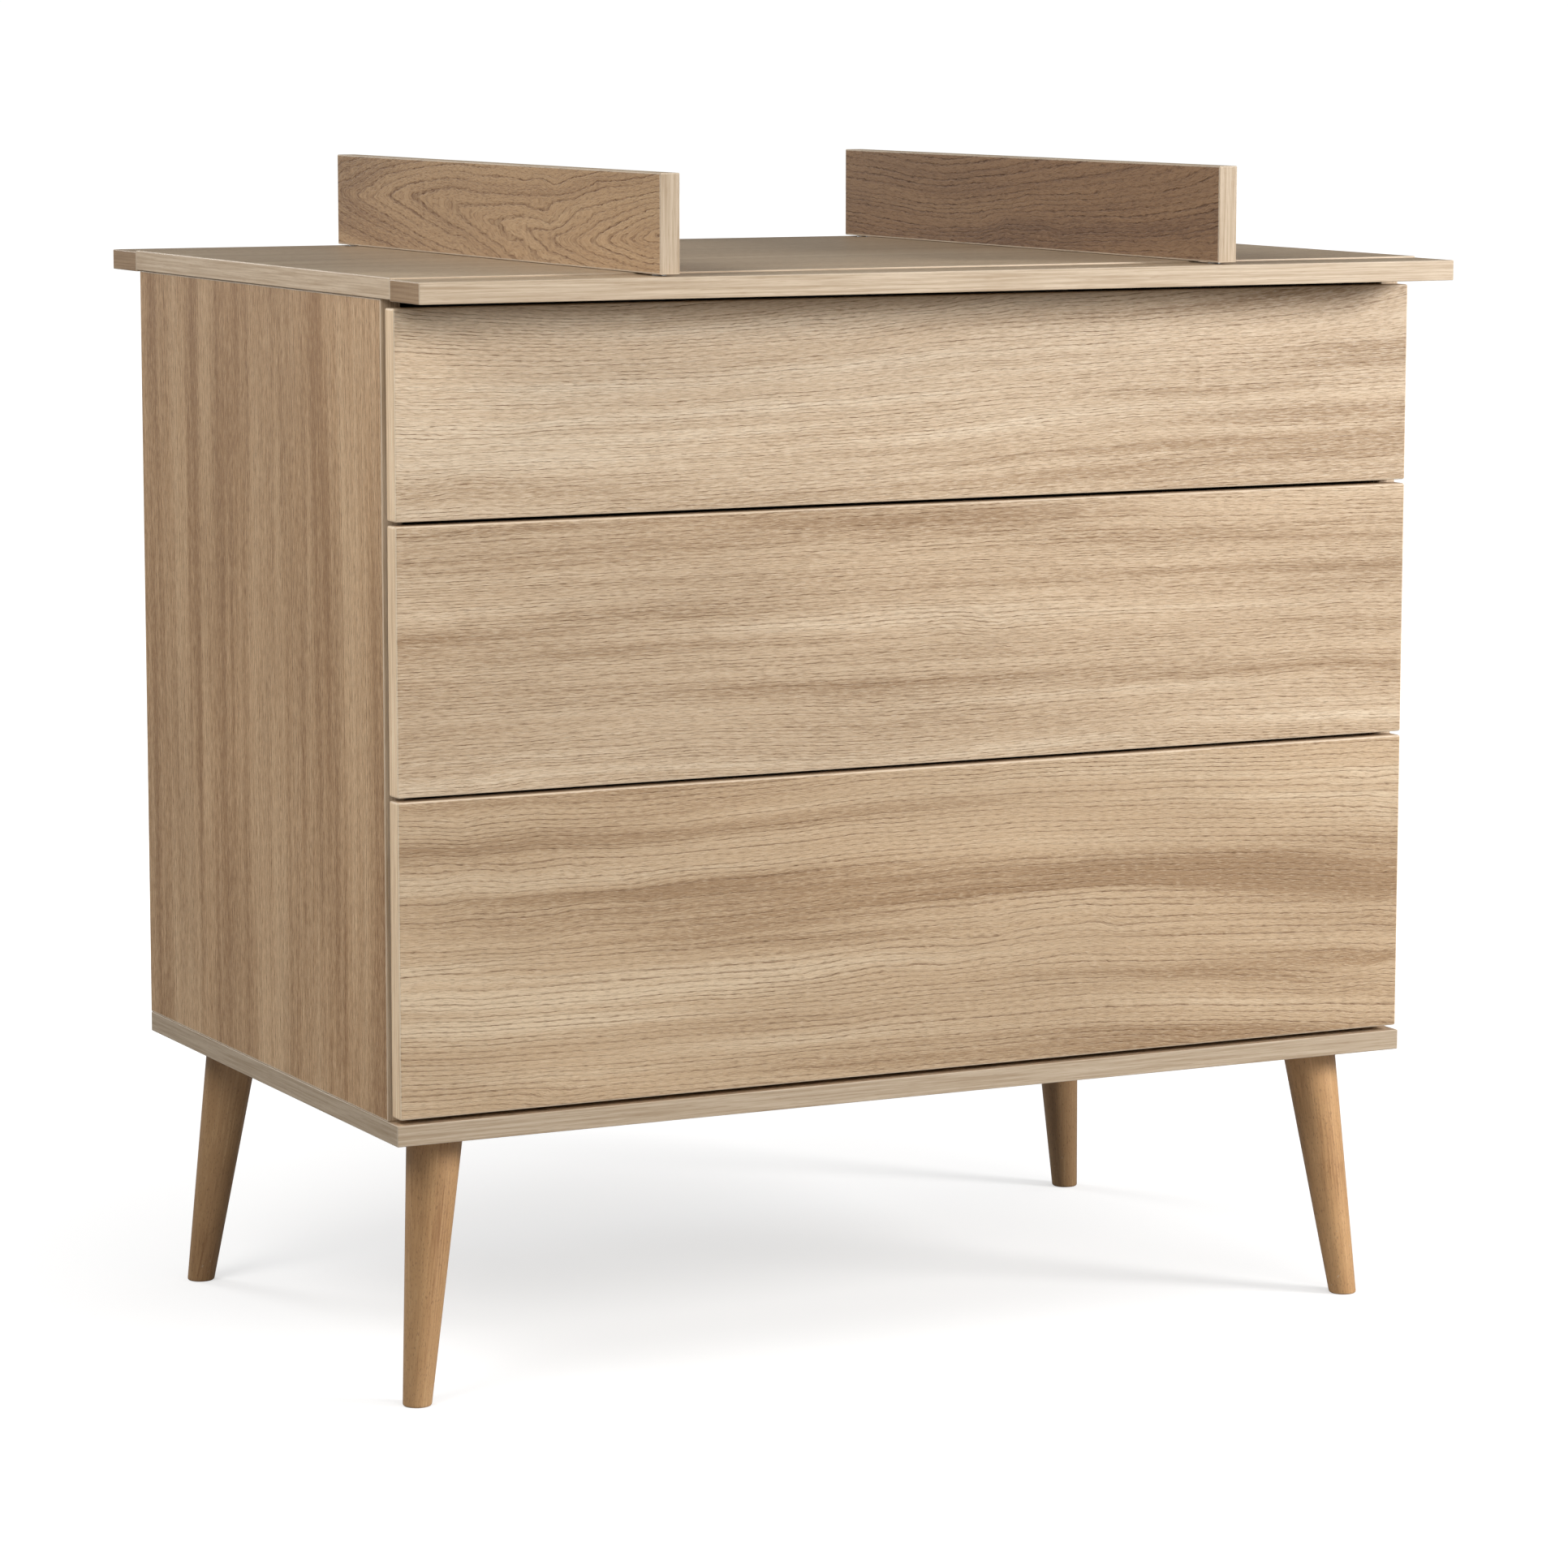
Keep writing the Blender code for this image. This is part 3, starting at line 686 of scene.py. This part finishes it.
def turned_head(radius, height, recess, arm, slot):
    """A low domed head with a cross recess. It stands on z = 0 and reaches SUNK below."""
    profile = [(radius * HEAD_FOOT, -SUNK), (radius, -SUNK), (radius, height * HEAD_RIM)]
    for step in range(DOME_STEPS):
        angle = math.pi / 2 * step / DOME_STEPS
        profile.append((radius * math.cos(angle), height * (DOME_START + (1 - DOME_START) * math.sin(angle))))
    turns = [2 * math.pi * k / HEAD_SEGMENTS for k in range(HEAD_SEGMENTS)]
    mesh = bmesh.new()
    rings = [[mesh.verts.new((r * math.cos(turn), r * math.sin(turn), z)) for turn in turns] for r, z in profile]
    for low, high in zip(rings, rings[1:]):
        bridge(mesh, low, high)
    mesh.faces.new(rings[0][::-1])
    mesh.faces.new(rings[-1])
    head, cutter = object_of("head", mesh), cross_cutter(height, recess, arm, slot)
    cut = head.modifiers.new("cut", "BOOLEAN")
    cut.object, cut.operation, cut.solver = cutter, "DIFFERENCE", "EXACT"
    bpy.context.view_layer.update()
    made = bpy.data.meshes.new_from_object(head.evaluated_get(bpy.context.evaluated_depsgraph_get()))
    for used in (head, cutter):
        bpy.data.objects.remove(used)
    mended = bmesh.new()
    mended.from_mesh(made)
    bmesh.ops.remove_doubles(mended, verts=mended.verts, dist=SLIVER)
    bmesh.ops.dissolve_degenerate(mended, edges=mended.edges, dist=SLIVER)
    mended.to_mesh(made)
    mended.free()
    return made


def steel_piece(name, mesh, material, body):
    """A piece of the object from a bmesh, in zinc-plated steel and riding on body."""
    made = object_of(name, mesh)
    made.data.materials.append(material)
    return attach(made, body)


def scatter(name, master, places, facing, material, body):
    """One piece made of a copy of master at each place, its axis along facing, riding on body."""
    turn = Vector(facing).to_track_quat("Z", "Y").to_matrix().to_4x4()
    mesh = bmesh.new()
    for count, place in enumerate(places):
        before = len(mesh.verts)
        mesh.from_mesh(master)
        mesh.verts.ensure_lookup_table()
        spin = Matrix.Rotation(math.radians(FIRST_TURN + NEXT_TURN * count), 4, "Z")
        bmesh.ops.transform(mesh, matrix=Matrix.Translation(place) @ turn @ spin, verts=mesh.verts[before:])
    return steel_piece(name, mesh, material, body)


def ball_cage(name, place, rise, length, material, body):
    """Two thin strips, rise above and below place, that run back along Y and hold the balls between two flanges."""
    mesh = bmesh.new()
    count = int(length / BALL_PITCH)
    for sign in (1, -1):
        level = Matrix.Translation(Vector(place) + Vector((0.0, 0.0, sign * rise)))
        sheet = Matrix.Translation((0.0, length / 2, 0.0)) @ Matrix.Diagonal((CAGE_WIDTH, length, CAGE_SHEET, 1.0))
        bmesh.ops.create_cube(mesh, size=1.0, matrix=level @ sheet)
        for k in range(count):
            along = Matrix.Translation((0.0, (k + 0.5) * length / count, 0.0))
            ball = bmesh.ops.create_uvsphere(
                mesh,
                u_segments=BALL_MERIDIANS,
                v_segments=BALL_ROWS,
                radius=BALL_RADIUS,
                matrix=level @ along,
            )
            for face in {face for vert in ball["verts"] for face in vert.link_faces}:
                face.smooth = True
    return steel_piece(name, mesh, material, body)


def make_cages(which, side, material):
    """The two cages of one runner. Both ride on its middle channel, which stays between the other two."""
    cabinet, middle, drawer = (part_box(f"runner_{part}_{which}_{side}") for part in ("cabinet", "middle", "drawer"))
    halves = [(high.z - low.z) / 2 for low, high in (cabinet, middle, drawer)]
    room = halves[0] - halves[1] - CHANNEL_SHEET
    z = (middle[0].z + middle[1].z) / 2
    shared = (max(middle[0].x, drawer[0].x), min(middle[1].x, drawer[1].x))
    for (kind, start, length), half, (near, far) in zip(CAGES, halves[1:], ((middle[0].x, middle[1].x), shared)):
        place = ((near + far) / 2, middle[0].y + start, z)
        name = f"ball_cage_{kind}_{which}_{side}"
        ball_cage(name, place, half + room / 2, length, material, f"runner_middle_{which}")


def shares_between(low, high, shares):
    return [low + (high - low) * share for share in shares]


def make_fastenings(steel):
    pan, confirmat, cam = turned_head(**SCREW_HEAD), turned_head(**CONFIRMAT), turned_head(**CAM)
    for which in DRAWERS:
        body = "drawer_" + which
        floor_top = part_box("drawer_bottom_" + which)[1].z
        back_low, back_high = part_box("drawer_back_" + which)
        back_y = (back_low.y + back_high.y) / 2
        for side, sign in SIDES:
            make_cages(which, side, steel)
            low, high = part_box(f"runner_drawer_{which}_{side}")
            web, level = (high.x if sign < 0 else low.x), (low.z + high.z) / 2
            places = [(web + sign * CHANNEL_SHEET, low.y + along, level) for along in RUNNER_SCREWS]
            scatter(f"runner_screws_{which}_{side}", pan, places, (sign, 0, 0), steel, body)
            low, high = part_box(f"drawer_side_{which}_{side}")
            inner, outer = (high.x, low.x) if sign < 0 else (low.x, high.x)
            heights = shares_between(floor_top, high.z, JOINT_SHARES)
            places = [(inner, low.y + CAM_FROM_FRONT, z) for z in heights]
            scatter(f"cam_{which}_{side}", cam, places, (-sign, 0, 0), steel, body)
            runner_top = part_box(f"runner_cabinet_{which}_{side}")[1].z
            places = [(outer, back_y, z) for z in shares_between(runner_top, high.z, JOINT_SHARES)]
            scatter(f"joint_screws_{which}_{side}", confirmat, places, (sign, 0, 0), steel, body)
        low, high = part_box("latch_housing_" + which)
        places = [(high.x, y, (low.z + high.z) / 2) for y in shares_between(low.y, high.y, LATCH_SCREWS)]
        scatter("latch_screws_" + which, pan, places, (1, 0, 0), steel, "carcass")


# ---------------------------------------------------------------- stage


def seen_as(tree, dim, bright):
    """Mixes two shaders of a stage material: the camera sees the second, and everything else is lit by the first."""
    rays = tree.nodes.new("ShaderNodeLightPath")
    mixed = tree.nodes.new("ShaderNodeMixShader")
    tree.links.new(rays.outputs["Is Camera Ray"], mixed.inputs[0])
    tree.links.new(dim, mixed.inputs[1])
    tree.links.new(bright, mixed.inputs[2])
    return mixed.outputs[0]


def make_world():
    world = bpy.data.worlds.new("studio")
    bpy.context.scene.world = world
    world.use_nodes = True
    tree = world.node_tree
    tree.nodes.clear()
    dim, bright = (tree.nodes.new("ShaderNodeBackground") for _ in range(2))
    dim.inputs[0].default_value = WORLD_LIGHT + (1.0,)
    dim.inputs[1].default_value = WORLD_STRENGTH
    bright.inputs[0].default_value = grey(1.0)
    bright.inputs[1].default_value = WHITE
    output = tree.nodes.new("ShaderNodeOutputWorld")
    tree.links.new(seen_as(tree, dim.outputs[0], bright.outputs[0]), output.inputs[0])


def floor_glow(tree):
    """What the floor gives off for the camera: near white, dimmer under the object, full white far from it."""
    occlusion, lean, place, distance, far, depth, share = (
        tree.nodes.new("ShaderNode" + kind)
        for kind in ("AmbientOcclusion", "Normal", "TexCoord", "VectorMath", "MapRange", "MapRange", "Mix")
    )
    occlusion.inputs["Distance"].default_value = SHADOW_REACH
    lean.outputs[0].default_value = Vector(SHADOW_LEAN).normalized()
    tree.links.new(lean.outputs[0], occlusion.inputs["Normal"])
    depth.inputs["To Min"].default_value = FLOOR_GLOW - SHADOW_DEPTH
    depth.inputs["To Max"].default_value = FLOOR_GLOW
    tree.links.new(occlusion.outputs["AO"], depth.inputs["Value"])
    distance.operation, far.interpolation_type = "LENGTH", "SMOOTHSTEP"
    far.inputs["From Min"].default_value, far.inputs["From Max"].default_value = FLOOR_NEAR, FLOOR_FAR
    tree.links.new(place.outputs["Object"], distance.inputs[0])
    tree.links.new(distance.outputs["Value"], far.inputs["Value"])
    tree.links.new(far.outputs[0], share.inputs["Factor"])
    tree.links.new(depth.outputs[0], share.inputs["A"])
    share.inputs["B"].default_value = WHITE
    glow = tree.nodes.new("ShaderNodeEmission")
    tree.links.new(share.outputs["Result"], glow.inputs["Strength"])
    return glow.outputs[0]


def make_floor():
    mesh = bpy.data.meshes.new("floor")
    half = FLOOR_SIZE / 2
    mesh.from_pydata([(-half, -half, 0), (half, -half, 0), (half, half, 0), (-half, half, 0)], [], [(0, 1, 2, 3)])
    floor = bpy.data.objects.new("floor", mesh)
    bpy.context.scene.collection.objects.link(floor)
    material = bpy.data.materials.new("floor")
    material.use_nodes = True
    tree = material.node_tree
    tree.nodes.clear()
    dim, shaded = (tree.nodes.new("ShaderNodeBsdfDiffuse") for _ in range(2))
    dim.inputs[0].default_value = grey(FLOOR_BOUNCE)
    shaded.inputs[0].default_value = grey(FLOOR_SHADE)
    both = tree.nodes.new("ShaderNodeAddShader")
    tree.links.new(shaded.outputs[0], both.inputs[0])
    tree.links.new(floor_glow(tree), both.inputs[1])
    output = tree.nodes.new("ShaderNodeOutputMaterial")
    tree.links.new(seen_as(tree, dim.outputs[0], both.outputs[0]), output.inputs[0])
    mesh.materials.append(material)


def make_lamps():
    for name, place, aim, size, power, colour in LAMPS:
        lamp = bpy.data.lights.new(name, "AREA")
        lamp.shape, lamp.size, lamp.energy, lamp.color = "DISK", size, power, colour
        made = bpy.data.objects.new(name, lamp)
        made.location = place
        made.rotation_euler = (Vector(aim) - Vector(place)).to_track_quat("-Z", "Y").to_euler()
        bpy.context.scene.collection.objects.link(made)


def make_camera():
    data = bpy.data.cameras.new("camera")
    data.lens, data.sensor_width = CAMERA_LENS, CAMERA_SENSOR
    camera = bpy.data.objects.new("camera", data)
    turn = Euler((math.radians(90 + CAMERA_PITCH), 0, math.radians(CAMERA_YAW))).to_matrix().to_4x4()
    roll = Matrix.Rotation(math.radians(CAMERA_ROLL), 4, "Z")
    camera.matrix_world = Matrix.Translation(CAMERA_PLACE) @ turn @ roll
    bpy.context.scene.collection.objects.link(camera)
    bpy.context.scene.camera = camera


def make_stage():
    make_world()
    make_floor()
    make_lamps()
    make_camera()
    view = bpy.context.scene.view_settings
    view.view_transform, view.look, view.exposure = "Standard", "None", 0.0


make_stage()
dress_oak()
dress_rest()
